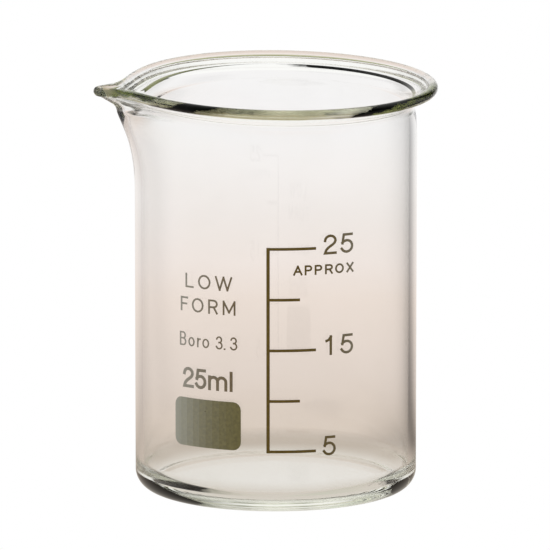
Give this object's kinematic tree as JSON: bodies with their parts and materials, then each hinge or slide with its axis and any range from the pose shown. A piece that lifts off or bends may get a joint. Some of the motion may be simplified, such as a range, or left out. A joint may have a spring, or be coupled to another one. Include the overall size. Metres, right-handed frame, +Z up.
{
  "type": "beaker",
  "caption": "Low-form laboratory beaker in clear borosilicate glass, with a flared fire-polished lip, a pouring spout, and fired enamel volume marks and a marking patch.",
  "frame": {"origin": "on the axis of the round body, at the flat underside that it rests on", "axes": "+Z up along the body's axis; -X towards the tip of the pouring spout; -Y towards the side with the printed scale"},
  "size_m": [0.0414, 0.0398, 0.0504],
  "materials": {
    "borosilicate_glass": "clear, fire-polished",
    "scale_enamel": "satin fired enamel, dark olive brown",
    "text_enamel": "satin fired enamel, grey brown",
    "patch_enamel": "matt fired enamel, olive grey, takes a pencil"
  },
  "bodies": {
    "root": {"glass_body": "borosilicate_glass", "graduation_scale": "scale_enamel", "number_25_digit_2": "scale_enamel", "number_25_digit_5": "scale_enamel", "number_15_digit_1": "scale_enamel", "number_15_digit_5": "scale_enamel", "number_5_digit_5": "scale_enamel", "approx_a": "scale_enamel", "approx_p1": "scale_enamel", "approx_p2": "scale_enamel", "approx_r": "scale_enamel", "approx_o": "scale_enamel", "approx_x": "scale_enamel", "marking_patch": "patch_enamel", "capacity_2": "text_enamel", "capacity_5": "text_enamel", "capacity_m": "text_enamel", "capacity_l": "text_enamel", "glass_type_b": "text_enamel", "glass_type_o1": "text_enamel", "glass_type_r": "text_enamel", "glass_type_o2": "text_enamel", "glass_type_3a": "text_enamel", "glass_type_point": "text_enamel", "glass_type_3b": "text_enamel", "form_mark_l": "text_enamel", "form_mark_o": "text_enamel", "form_mark_w": "text_enamel", "form_mark_f": "text_enamel", "form_mark_o_lower": "text_enamel", "form_mark_r": "text_enamel", "form_mark_m": "text_enamel"}
  },
  "joints": []
}
